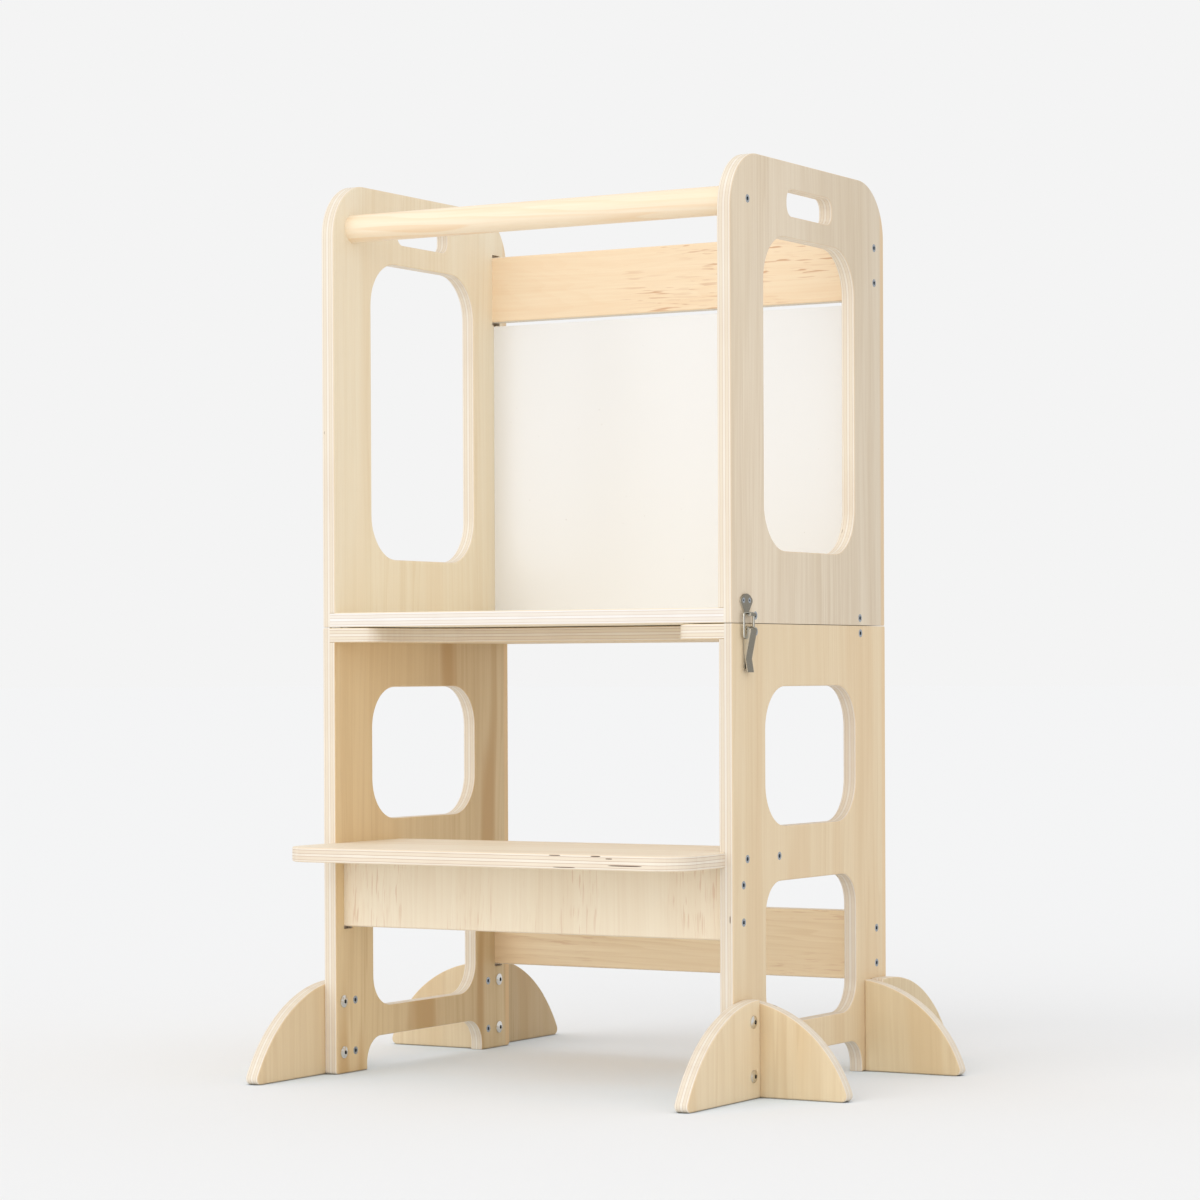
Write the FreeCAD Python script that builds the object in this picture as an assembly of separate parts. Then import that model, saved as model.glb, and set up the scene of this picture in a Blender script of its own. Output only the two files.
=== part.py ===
import FreeCAD, Part
import math
import os

from FreeCAD import Vector

os.makedirs("parts", exist_ok=True)

# A folding helper tower for a toddler, in millimetres. X runs to the right, Y to the back, Z up.
# The origin is on the floor, in the middle of the frame. The lower half stands on the floor. The upper
# half is hinged to it at the back, and turns over to make a desk. A latch on each side holds it shut.

# frame
frame_width = 468.0
frame_depth = 332.0
ply = 14.5
dado_depth = 6.0
edge_round = 1.5
panel_corner = 3.0
lower_height = 450.4
upper_height = 449.0
fold_gap = 0.6
side_clearance = 0.4
seam_planing = 1.1
cut_past = 1.0
same_place = 1e-6

# openings in the side panels
window_width = 196.0
upper_window_sill = 70.5
upper_window_drop = 74.0
upper_window_radius = 46.0
lower_window_drop = 60.0
lower_window_rise = 21.5
lower_window_radius = 42.0
opening_sill = 63.0
opening_drop = 17.0
opening_radius = 32.0
arch_width = 220.0
arch_height = 32.5
arch_radius = 26.0
handle_width = 97.0
handle_height = 26.0
handle_radius = 11.0
handle_drop = 26.5
top_corner_radius = 56.0

# boards
table_drop = 0.2
recess_half_width = 172.0
recess_depth = 112.0
recess_inner_radius = 78.0
recess_lip_radius = 16.0
step_top = 233.5
step_overhang = 89.0
step_rear_from_front = 119.0
step_corner_radius = 32.0

# planks across the frame
plank_thickness = 15.0
plank_height = 70.0
plank_setback = 14.5
plank_round = 2.0
lower_back_rail_bottom = 90.5
upper_back_rail_top_drop = 48.0
dado_end_slack = 3.0
front_rail_diameter = 28.0
front_rail_drop = 45.0
front_rail_setback = 35.5

# whiteboard
whiteboard_thickness = 4.0
whiteboard_setback = 3.0
whiteboard_groove_depth = 4.0
whiteboard_gap = 4.2
groove_clearance = 0.1

# foot fins
fin_height = 93.0
front_fin_reach = 120.0
rear_fin_reach = 130.0
front_fin_overlap = 27.0
rear_fin_overlap = 36.0
side_fin_arc_run = 147.0
cross_fin_reach = 107.5
fin_toe_round = 6.0
fin_bolt_heights = (21.5, 73.0)
fin_bolt_offset = 14.0

# bolts, sleeve nuts and screws
bolt_head_radius = 6.2
bolt_head_height = 2.6
bolt_shank_radius = 2.95
sleeve_bore_radius = 3.0
sleeve_radius = 4.2
sleeve_length = 24.0
bolt_length = 27.0
bolt_socket = 4.0
bolt_socket_depth = 2.0
bolt_head_rim = 0.9
screw_head_radius = 4.0
screw_head_cone = 2.4
screw_shank_radius = 2.0
screw_length = 42.0
screw_tip = 4.0
screw_socket = 3.6
screw_socket_depth = 1.8
small_socket_share = 0.7
hole_clearance = 0.05
board_screw_from_front = 48.5
board_screw_from_rear = 57.0
step_screw_from_front = 30.0
step_screw_spacing = 66.0
plank_screw_spacing = 35.5

# toggle latches
latch_setback = 28.0
latch_pivot_drop = 5.4
latch_pivot_reach = 3.6
latch_pin_radius = 1.25
latch_running_clearance = 0.05
latch_sheet = 1.2
lever_sheet = 1.0
ear_radius = 2.5
ear_outer = 5.0
cheek_gap = 0.2
cheek_radius = 2.9
web_clearance = 1.9
lever_kink_drop = 28.0
lever_kink_reach = 2.2
lever_length = 41.0
lever_tail_reach = 4.4
base_height = 40.0
bail_drop = 8.0
bail_offset = 0.5
bail_wire_radius = 1.25
bail_bend_radius = 2.1
bail_side_gap = 1.5
bail_bar_rise = 15.35
catch_sheet = 1.5
catch_head_width = 26.4
catch_head_peak = 11.0
catch_crown_radius = 15.5
catch_side_radius = 3.0
catch_taper = 10.5
catch_head_rise = 27.5
catch_neck_width = 10.0
catch_seat_gap = 0.1
hook_gap = 2.5
hook_lip = 1.2
latch_screw_head_radius = 2.6
latch_screw_shank_radius = 1.3
latch_screw_length = 11.0
latch_screw_head_cone = 1.2
catch_screw_spacing = 12.0
base_screw_drops = (14.0, 33.0)

# hinges
hinge_inset = 89.0
hinge_length = 60.0
hinge_sheet = 1.5
hinge_edge_margin = 2.0
knuckle_radius = 3.0
knuckle_count = 5
knuckle_gap = 0.2
hinge_clearance = 0.3
hinge_pin_radius = 1.5
hinge_pin_head_radius = 2.4
hinge_pin_head = 1.0
hinge_running_clearance = 0.04
hinge_screw_head_radius = 2.4
hinge_screw_shank_radius = 1.2
hinge_screw_length = 14.0
hinge_screw_head_cone = 1.2
hinge_screw_spacing = 22.0

# places worked out from the sizes above
half_width = frame_width / 2
half_depth = frame_depth / 2
front = -half_depth
rear = half_depth
upper_base = lower_height + fold_gap
tower_height = upper_base + upper_height
upper_half_width = half_width - side_clearance
lower_inner = half_width - ply
upper_inner = upper_half_width - ply
lower_board_end = lower_inner + dado_depth
upper_board_end = upper_inner + dado_depth

table_top = lower_height - table_drop
table_bottom = table_top - ply
platform_top = upper_base + ply
step_bottom = step_top - ply
step_front = front - step_overhang
step_rear = front + step_rear_from_front
apron_front = front + plank_setback
back_plank_front = rear - plank_setback - plank_thickness
upper_back_rail_top = tower_height - upper_back_rail_top_drop
upper_back_rail_bottom = upper_back_rail_top - plank_height
front_rail_y = front + front_rail_setback
front_rail_z = tower_height - front_rail_drop
whiteboard_front = back_plank_front + whiteboard_setback
whiteboard_bottom = platform_top - whiteboard_groove_depth
whiteboard_top = upper_back_rail_bottom - whiteboard_gap
hinge_place = lower_inner - hinge_inset
hinge_y = rear + knuckle_radius + hinge_clearance
hinge_z = lower_height + fold_gap / 2
latch_y = front + latch_setback
latch_pivot_z = lower_height - latch_pivot_drop
bail_reach = latch_pivot_reach - bail_offset
bail_pivot_z = latch_pivot_z - bail_drop
bail_bar_z = latch_pivot_z + bail_bar_rise
hook_seat_z = bail_bar_z - bail_wire_radius - catch_seat_gap

across = Vector(1, 0, 0)
backward = Vector(0, 1, 0)
upward = Vector(0, 0, 1)


def box(low, high):
    size = [b - a for a, b in zip(low, high)]
    return Part.makeBox(size[0], size[1], size[2], Vector(*low))


def rod(radius, start, end):
    start = Vector(*start)
    way = Vector(*end) - start
    return Part.makeCylinder(radius, way.Length, start, way)


def roundedOutline(corners):
    """corners is a closed list of (a, b, radius) in a plane; returns edges in that plane, with arcs at the radii"""
    count = len(corners)
    points = [Vector(a, b, 0) for a, b, radius in corners]
    edges = []
    starts = []
    ends = []
    for i in range(count):
        corner = points[i]
        radius = corners[i][2]
        before = (points[i - 1] - corner).normalize()
        after = (points[(i + 1) % count] - corner).normalize()
        if radius <= 0:
            starts.append(corner)
            ends.append(corner)
            continue
        half_turn = before.getAngle(after) / 2
        trim = radius / math.tan(half_turn)
        starts.append(corner + before * trim)
        ends.append(corner + after * trim)
        middle = (before + after).normalize() * (radius / math.sin(half_turn) - radius)
        edges.append(Part.Arc(starts[i], corner + middle, ends[i]).toShape())
    for i in range(count):
        start = ends[i]
        end = starts[(i + 1) % count]
        if (end - start).Length > same_place:
            edges.append(Part.makeLine(start, end))
    return Part.Wire(Part.__sortEdges__(edges))


# local X and Y of an outline become Y and Z of the frame, or X and Z, and its depth runs along X, or along -Y
sideways = FreeCAD.Placement(Vector(), FreeCAD.Rotation(backward, upward, across))
facing = FreeCAD.Placement(Vector(), FreeCAD.Rotation(across, upward, backward * -1))


def rounded(solid, edges, radius):
    return solid.makeFillet(radius, edges)


def facesRounded(solid, direction, levels, radius):
    """rounds the edges that lie in the flat faces square to direction at the levels given"""
    def onLevel(edge):
        heights = [v.Point.dot(direction) for v in edge.Vertexes]
        middle = edge.valueAt((edge.FirstParameter + edge.LastParameter) / 2).dot(direction)
        return any(all(abs(h - level) < same_place for h in heights + [middle]) for level in levels)
    return rounded(solid, [e for e in solid.Edges if onLevel(e)], radius)


def plate(outline, holes, placement, start, thickness, radius=edge_round):
    """a flat plate cut to an outline with holes, with softly rounded edges on both faces"""
    wires = [roundedOutline(o) for o in [outline] + holes]
    solid = Part.makeFace(wires, "Part::FaceMakerBullseye").extrude(Vector(0, 0, thickness))
    if radius > 0:
        solid = facesRounded(solid, Vector(0, 0, 1), (0, thickness), radius)
    solid.translate(Vector(0, 0, start))
    solid.Placement = placement.multiply(solid.Placement)
    return solid


def rectangle(low_a, high_a, low_b, high_b, radius):
    corners = [(low_a, low_b), (high_a, low_b), (high_a, high_b), (low_a, high_b)]
    return [(a, b, radius) for a, b in corners]


def mirrored(solid):
    return solid.mirror(Vector(), across)


def together(solids):
    return Part.makeCompound(solids)


def save(name, shape):
    for solid in shape.Solids:
        if not solid.isValid() or solid.Volume <= 0:
            raise ValueError(name + " has a solid that is not sound")
    shape.exportStep("parts/" + name + ".step")
    print(name, len(shape.Solids), round(shape.Volume / 1000, 2), "cm3")


# ---- fasteners: each is placed by the outer face it sinks into and the way it is driven

def hexSocket(size, depth, start, way):
    corners = [(size / math.sqrt(3) * math.cos(a), size / math.sqrt(3) * math.sin(a), 0)
               for a in [math.pi / 3 * i for i in range(6)]]
    socket = Part.Face(roundedOutline(corners)).extrude(Vector(0, 0, depth))
    socket.Placement = FreeCAD.Placement(start, FreeCAD.Rotation(upward, way))
    return socket


def countersunk(start, way, length, head, shank, cone_height):
    """a countersunk screw: flat head flush with start, cone, shank and pointed tip"""
    tip_length = min(screw_tip, length / 3)
    profile = [(0, 0, 0), (head, 0, 0), (shank, cone_height, 0), (shank, length - tip_length, 0), (0, length, 0)]
    face = Part.Face(roundedOutline(profile))
    screw = face.revolve(Vector(), Vector(0, 1, 0), 360)
    screw.Placement = FreeCAD.Placement(start, FreeCAD.Rotation(Vector(0, 1, 0), way))
    return screw


def woodScrew(start, way):
    screw = countersunk(start, way, screw_length, screw_head_radius, screw_shank_radius, screw_head_cone)
    return screw.cut(hexSocket(screw_socket, screw_socket_depth, start, way))


def woodScrewHole(start, way):
    grow = hole_clearance
    return countersunk(start, way, screw_length + grow, screw_head_radius + grow, screw_shank_radius + grow,
                       screw_head_cone)


def smallScrew(start, way, length, head, shank, cone_height):
    screw = countersunk(start, way, length, head, shank, cone_height)
    return screw.cut(hexSocket(head * small_socket_share, cone_height * small_socket_share, start, way))


def smallScrewHole(start, way, length, head, shank, cone_height):
    grow = hole_clearance
    return countersunk(start, way, length + grow, head + grow, shank + grow, cone_height)


def domedHead(start, way):
    """a low domed head that stands on a surface at start, with a hexagon socket in its top"""
    rise = bolt_head_height - bolt_head_rim
    dome_radius = (bolt_head_radius ** 2 + rise ** 2) / (2 * rise)
    turn = math.asin(bolt_head_radius / dome_radius)
    on_dome = [Vector(dome_radius * math.sin(a), bolt_head_height - dome_radius * (1 - math.cos(a)), 0)
               for a in (turn, turn / 2, 0)]
    profile = Part.Wire([
        Part.makeLine(Vector(0, 0, 0), Vector(bolt_head_radius, 0, 0)),
        Part.makeLine(Vector(bolt_head_radius, 0, 0), on_dome[0]),
        Part.Arc(*on_dome).toShape(),
        Part.makeLine(on_dome[2], Vector(0, 0, 0))])
    head = Part.Face(profile).revolve(Vector(), Vector(0, 1, 0), 360)
    head.Placement = FreeCAD.Placement(start, FreeCAD.Rotation(Vector(0, 1, 0), way))
    top = start + way * bolt_head_height
    return head.cut(hexSocket(bolt_socket, bolt_socket_depth, top, way * -1))


def cylinderAt(start, way, length, radius):
    return Part.makeCylinder(radius, length, start, way)


def finBolt(start, way):
    """start is on the fin's outer face and way points into the wood"""
    return domedHead(start, way * -1).fuse(cylinderAt(start, way, bolt_length, bolt_shank_radius))


def sleeveNut(start, way):
    """start is on the side panel's inner face and way points into the wood"""
    head = domedHead(start, way * -1)
    sleeve = cylinderAt(start, way, sleeve_length, sleeve_radius)
    bore = cylinderAt(start, way, sleeve_length, sleeve_bore_radius)
    return head.fuse(sleeve).cut(bore)


def boltHole(start, way, length):
    return cylinderAt(start, way, length, sleeve_radius + hole_clearance)


# ---- where the fasteners go, on the right-hand side: (y, z) on the side panel's outer face

board_screw_rows = (front + board_screw_from_front, rear - board_screw_from_rear)
table_screws = [(y, (table_top + table_bottom) / 2) for y in board_screw_rows]
platform_screws = [(y, upper_base + ply / 2) for y in board_screw_rows]
step_screws = [(front + step_screw_from_front + step_screw_spacing * i, step_top - ply / 2) for i in range(2)]
apron_screw_y = apron_front + plank_thickness / 2
apron_middle = step_bottom - plank_height / 2
back_plank_y = back_plank_front + plank_thickness / 2
lower_back_middle = lower_back_rail_bottom + plank_height / 2
upper_back_middle = upper_back_rail_top - plank_height / 2


def plankScrews(y, middle):
    return [(y, middle + plank_screw_spacing * (i - 0.5)) for i in range(2)]


apron_screws = plankScrews(apron_screw_y, apron_middle)
lower_back_screws = plankScrews(back_plank_y, lower_back_middle)
upper_back_screws = plankScrews(back_plank_y, upper_back_middle)
front_rail_screws = [(front_rail_y, front_rail_z)]
cross_fin_faces = {-1: half_depth - front_fin_overlap, 1: half_depth - rear_fin_overlap}
side_fin_toes = {-1: half_depth + front_fin_reach, 1: half_depth + rear_fin_reach}


def screwsOnBothSides(places, outer):
    right = [woodScrew(Vector(outer, y, z), across * -1) for y, z in places]
    return together(right + [mirrored(s) for s in right])


def screwHoles(places, outer):
    return [woodScrewHole(Vector(outer, y, z), across * -1) for y, z in places]


def finPlaces(end, offset):
    """where a fin's fasteners are, from the outer face of the cross fin at that end: -1 is the front, 1 the rear"""
    return [(end * (cross_fin_faces[end] + offset), z) for z in fin_bolt_heights]


def finBoltPlaces(end):
    return finPlaces(end, fin_bolt_offset)


def finScrewPlaces(end):
    return finPlaces(end, -ply / 2)


# ---- side panels, drawn on the right-hand side

def sidePanel(base, top, top_radius, holes, foot_arch, outer):
    outline = [(front, base, panel_corner)]
    if foot_arch:
        half_arch = arch_width / 2
        outline += [(-half_arch, base, 0), (-half_arch, base + arch_height, arch_radius),
                    (half_arch, base + arch_height, arch_radius), (half_arch, base, 0)]
    outline += [(rear, base, panel_corner), (rear, top, top_radius), (front, top, top_radius)]
    return plate(outline, holes, sideways, outer - ply, ply)


def planedOff(bottom, top, outer):
    """what is planed off a panel after its edges are rounded, so that the two halves meet with crisp ends"""
    return box((outer - ply, front, bottom), (outer, rear, top))


def lowerSide():
    half_window = window_width / 2
    window = rectangle(-half_window, half_window, step_top + lower_window_rise, lower_height - lower_window_drop,
                       lower_window_radius)
    opening = rectangle(-half_window, half_window, opening_sill, step_bottom - opening_drop, opening_radius)
    panel = sidePanel(0, lower_height + seam_planing, panel_corner, [window, opening], True, half_width)
    inner = lower_inner - cut_past
    dados = [
        box((inner, front - cut_past, table_bottom),
            (lower_board_end, rear + cut_past, lower_height + seam_planing)),
        box((inner, front - cut_past, step_bottom), (lower_board_end, step_rear, step_top)),
        plankDado(inner, lower_board_end, apron_front, step_bottom - plank_height, step_bottom),
        plankDado(inner, lower_board_end, back_plank_front, lower_back_rail_bottom,
                  lower_back_rail_bottom + plank_height)]
    holes = screwHoles(table_screws + step_screws + apron_screws + lower_back_screws, half_width)
    for end in (-1, 1):
        holes += [boltHole(Vector(half_width, y, z), across * -1, ply) for y, z in finBoltPlaces(end)]
        holes += [woodScrewHole(Vector(lower_inner, y, z), across) for y, z in finScrewPlaces(end)]
    holes += latchBaseHoles(half_width)
    return panel.cut([planedOff(lower_height, lower_height + seam_planing, half_width)] + dados + holes)


def plankDado(start, end, y, bottom, top):
    """the slot that a plank's end sits in, a little longer than the plank is high"""
    low = (start, y, bottom - dado_end_slack)
    high = (end, y + plank_thickness, top + dado_end_slack)
    return box(low, high)


def upperSide():
    half_window = window_width / 2
    window = rectangle(-half_window, half_window, upper_base + upper_window_sill,
                       tower_height - upper_window_drop, upper_window_radius)
    handle_top = tower_height - handle_drop
    handle = rectangle(-handle_width / 2, handle_width / 2, handle_top - handle_height, handle_top,
                       handle_radius)
    panel = sidePanel(upper_base - seam_planing, tower_height, top_corner_radius, [window, handle], False,
                      upper_half_width)
    inner = upper_inner - cut_past
    groove_end = upper_inner + whiteboard_groove_depth
    dados = [
        box((inner, front - cut_past, upper_base - seam_planing),
            (upper_board_end, rear + cut_past, platform_top)),
        plankDado(inner, upper_board_end, back_plank_front, upper_back_rail_bottom, upper_back_rail_top),
        box((inner, whiteboard_front - groove_clearance, platform_top - cut_past),
            (groove_end, whiteboard_front + whiteboard_thickness + groove_clearance, upper_back_rail_bottom)),
        rod(front_rail_diameter / 2, (inner, front_rail_y, front_rail_z),
            (upper_board_end, front_rail_y, front_rail_z))]
    holes = screwHoles(platform_screws + upper_back_screws + front_rail_screws, upper_half_width)
    holes += catchHoles(upper_half_width)
    return panel.cut([planedOff(upper_base - seam_planing, upper_base, upper_half_width)] + dados + holes)


# ---- boards and planks

def acrossScrewHoles(places, outer):
    right = screwHoles(places, outer)
    return right + [mirrored(h) for h in right]


def boardRounded(board, bottom, top):
    """rounds the long edges of a board that is let into the sides, but not its ends"""
    half_length = max(v.Point.x for v in board.Vertexes)

    def isLong(edge):
        middle = edge.valueAt((edge.FirstParameter + edge.LastParameter) / 2)
        on_face = min(abs(middle.z - bottom), abs(middle.z - top)) < same_place
        return on_face and abs(middle.x) < half_length - same_place
    return rounded(board, [e for e in board.Edges if isLong(e)], edge_round)


def tableBoard():
    lip = recess_lip_radius
    inner = recess_inner_radius
    half = recess_half_width
    end = lower_board_end
    outline = [(-end, front, 0), (-half, front, lip), (-half, front + recess_depth, inner),
               (half, front + recess_depth, inner), (half, front, lip), (end, front, 0), (end, rear, 0),
               (-end, rear, 0)]
    board = Part.Face(roundedOutline(outline)).extrude(upward * ply)
    board.translate(upward * table_bottom)
    board = boardRounded(board, table_bottom, table_top)
    return board.cut(acrossScrewHoles(table_screws, half_width) + hingeScrewHoles(-1))


def stepBoard():
    end = lower_board_end
    radius = step_corner_radius
    outline = [(-end, step_front, radius), (end, step_front, radius), (end, step_rear, 0), (-end, step_rear, 0)]
    board = Part.Face(roundedOutline(outline)).extrude(upward * ply)
    board.translate(upward * step_bottom)
    board = boardRounded(board, step_bottom, step_top)
    return board.cut(acrossScrewHoles(step_screws, half_width))


def platformBoard():
    end = upper_board_end
    board = box((-end, front, upper_base), (end, rear, platform_top))
    board = boardRounded(board, upper_base, platform_top)
    groove = box((-end - cut_past, whiteboard_front - groove_clearance, whiteboard_bottom),
                 (end + cut_past, whiteboard_front + whiteboard_thickness + groove_clearance,
                  platform_top + cut_past))
    return board.cut([groove] + acrossScrewHoles(platform_screws, upper_half_width) + hingeScrewHoles(1))


def plank(end, y, bottom, screws, outer):
    """a plank on edge across the frame, its long edges rounded and its ends square"""
    solid = box((-end, y, bottom), (end, y + plank_thickness, bottom + plank_height))
    long_edges = [e for e in solid.Edges if abs(abs(e.tangentAt(e.FirstParameter).x) - 1) < same_place]
    return rounded(solid, long_edges, plank_round).cut(acrossScrewHoles(screws, outer))


def frontRail():
    rail = rod(front_rail_diameter / 2, (-upper_board_end, front_rail_y, front_rail_z),
               (upper_board_end, front_rail_y, front_rail_z))
    return rail.cut(acrossScrewHoles(front_rail_screws, upper_half_width))


def whiteboard():
    end = upper_inner + whiteboard_groove_depth
    return box((-end, whiteboard_front, whiteboard_bottom),
               (end, whiteboard_front + whiteboard_thickness, whiteboard_top))


# ---- foot fins

def finOutline(inboard, crown, toe):
    """a flat top from inboard to the crown, then an arc down to a rounded toe on the floor, level at the crown.
    Where the crown is inboard of the fin, the fin starts part of the way down the arc."""
    arc_radius = ((toe - crown) ** 2 + fin_height ** 2) / (2 * fin_height)
    arc_middle = Vector(crown, fin_height - arc_radius, 0)
    toe_drop = fin_toe_round - arc_middle.y
    toe_middle = Vector(crown + math.sqrt((arc_radius - fin_toe_round) ** 2 - toe_drop ** 2), fin_toe_round, 0)
    start_turn = math.asin(max(inboard - crown, 0) / arc_radius)
    toe_turn = math.atan2(toe_middle.x - crown, toe_drop)

    def around(middle, radius, turn):
        return middle + Vector(math.sin(turn), math.cos(turn), 0) * radius

    start = around(arc_middle, arc_radius, start_turn)
    toe_start = around(arc_middle, arc_radius, toe_turn)
    edges = [Part.makeLine(Vector(inboard, 0, 0), Vector(inboard, start.y, 0))]
    if crown > inboard:
        edges.append(Part.makeLine(Vector(inboard, start.y, 0), start))
    edges += [
        Part.Arc(start, around(arc_middle, arc_radius, (start_turn + toe_turn) / 2), toe_start).toShape(),
        Part.Arc(toe_start, around(toe_middle, fin_toe_round, (toe_turn + math.pi) / 2),
                 Vector(toe_middle.x, 0, 0)).toShape(),
        Part.makeLine(Vector(toe_middle.x, 0, 0), Vector(inboard, 0, 0))]
    return Part.Wire(edges)


def finSolid(inboard, crown, toe):
    solid = Part.Face(finOutline(inboard, crown, toe)).extrude(upward * ply)
    return facesRounded(solid, upward, (0, ply), edge_round)


def sideFin(end):
    """the right fin that lies against the side panel and reaches out past its end, drawn at the rear"""
    toe = side_fin_toes[end]
    fin = finSolid(cross_fin_faces[end], toe - side_fin_arc_run, toe)
    fin.translate(upward * half_width)
    fin.Placement = sideways.multiply(fin.Placement)
    return fin.cut([boltHole(Vector(half_width + ply, y * end, z), across * -1, ply)
                    for y, z in finBoltPlaces(end)])


def crossFin(end):
    """the right fin that stands square to the side panel and reaches out beside it, drawn at the rear"""
    fin = finSolid(half_width, lower_inner, half_width + cross_fin_reach)
    fin.translate(upward * -cross_fin_faces[end])
    fin.Placement = facing.multiply(fin.Placement)
    return fin.cut([woodScrewHole(Vector(lower_inner, y * end, z), across) for y, z in finScrewPlaces(end)])


def atCorner(solid, x_side, y_end):
    if x_side < 0:
        solid = solid.mirror(Vector(), across)
    if y_end < 0:
        solid = solid.mirror(Vector(), backward)
    return solid


# ---- toggle latches, drawn on the right-hand side: u is the reach out from the frame's side, v runs back

cheek_inner = ear_outer + cheek_gap
cheek_outer = cheek_inner + lever_sheet
bail_leg = cheek_outer + latch_running_clearance + bail_side_gap + bail_bend_radius


def latchPlate(outline, v_low, v_high):
    """a flat piece cut square to Y: the outline is in (u, height above the lever's pivot)"""
    points = [Vector(half_width + u, latch_y + v_low, latch_pivot_z + z) for u, z in outline]
    face = Part.Face(Part.makePolygon(points + [points[0]]))
    return face.extrude(backward * (v_high - v_low))


def latchRod(radius, u, height, v_low, v_high):
    start = (half_width + u, latch_y + v_low, height)
    return rod(radius, start, (half_width + u, latch_y + v_high, height))


def span(side, near, far):
    return (near, far) if side > 0 else (-far, -near)


def latchScrewPlaces():
    return [(latch_y, latch_pivot_z + ear_radius - drop) for drop in base_screw_drops]


def latchBaseHoles(outer):
    return [smallScrewHole(Vector(outer + latch_sheet, y, z), across * -1, latch_screw_length,
                           latch_screw_head_radius, latch_screw_shank_radius, latch_screw_head_cone)
            for y, z in latchScrewPlaces()]


def catchScrewPlaces():
    height = latch_pivot_z + catch_head_rise
    return [(latch_y + catch_screw_spacing * (i - 0.5), height) for i in range(2)]


def catchHoles(outer):
    return [smallScrewHole(Vector(outer + catch_sheet, y, z), across * -1, latch_screw_length,
                           latch_screw_head_radius, latch_screw_shank_radius, latch_screw_head_cone)
            for y, z in catchScrewPlaces()]


def latchScrews(places, start):
    return [smallScrew(Vector(start, y, z), across * -1, latch_screw_length, latch_screw_head_radius,
                       latch_screw_shank_radius, latch_screw_head_cone) for y, z in places]


def latchBase():
    top = ear_radius
    plate_part = latchPlate([(0, top), (latch_sheet, top), (latch_sheet, top - base_height),
                             (0, top - base_height)], -ear_outer, ear_outer)
    ears = []
    for side in (-1, 1):
        low, high = span(side, ear_outer - latch_sheet, ear_outer)
        ears.append(latchPlate([(0, top), (latch_pivot_reach, top), (latch_pivot_reach, -top), (0, -top)],
                               low, high))
        ears.append(latchRod(ear_radius, latch_pivot_reach, latch_pivot_z, low, high))
    pin = latchRod(latch_pin_radius + hole_clearance / 2, latch_pivot_reach, latch_pivot_z, -ear_outer - cut_past,
                   ear_outer + cut_past)
    return plate_part.fuse(ears).removeSplitter().cut([pin] + latchBaseHoles(half_width))


def latchPin():
    return latchRod(latch_pin_radius, latch_pivot_reach, latch_pivot_z, -cheek_outer, cheek_outer)


def latchLever():
    inner_top = latch_pivot_reach + ear_radius + web_clearance
    web_inner = [(inner_top, 0), (lever_kink_reach, -lever_kink_drop), (lever_tail_reach, -lever_length)]
    web_outer = [(u + lever_sheet, z) for u, z in reversed(web_inner)]
    parts = [latchPlate(web_inner + web_outer, -cheek_outer, cheek_outer)]
    heel = latch_pivot_reach - cheek_radius
    cheek = [(heel, 0), (heel, -bail_drop - cheek_radius), (lever_kink_reach, -lever_kink_drop),
             (lever_kink_reach + lever_sheet, -lever_kink_drop), (inner_top + lever_sheet, 0),
             (latch_pivot_reach, cheek_radius)]
    for side in (-1, 1):
        low, high = span(side, cheek_inner, cheek_outer)
        parts.append(latchPlate(cheek, low, high))
        parts.append(latchRod(cheek_radius, latch_pivot_reach, latch_pivot_z, low, high))
    grow = latch_running_clearance
    past_cheek = cheek_outer + cut_past
    holes = [
        latchRod(latch_pin_radius + grow, latch_pivot_reach, latch_pivot_z, -past_cheek, past_cheek),
        latchRod(bail_wire_radius + grow, bail_reach, bail_pivot_z, -past_cheek, past_cheek)]
    return parts[0].fuse(parts[1:]).removeSplitter().cut(holes)


def latchBail():
    """one bent wire: through the lever's cheeks, up both sides and across inside the hook"""
    bend = bail_bend_radius
    corners = [(-cheek_inner, bail_pivot_z), (-bail_leg, bail_pivot_z), (-bail_leg, bail_bar_z),
               (bail_leg, bail_bar_z), (bail_leg, bail_pivot_z), (cheek_inner, bail_pivot_z)]
    points = [Vector(half_width + bail_reach, latch_y + v, z) for v, z in corners]
    edges = []
    start = points[0]
    for before, corner, after in zip(points, points[1:], points[2:]):
        into = (corner - before).normalize()
        out = (after - corner).normalize()
        arc_start = corner - into * bend
        arc_end = corner + out * bend
        arc_middle = corner + (out - into).normalize() * bend * (math.sqrt(2) - 1)
        if (arc_start - start).Length > same_place:
            edges.append(Part.makeLine(start, arc_start))
        edges.append(Part.Arc(arc_start, arc_middle, arc_end).toShape())
        start = arc_end
    edges.append(Part.makeLine(start, points[-1]))
    path = Part.Wire(edges)
    ring = Part.Wire(Part.makeCircle(bail_wire_radius, points[0], backward))
    return path.makePipeShell([ring], True, False)


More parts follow.
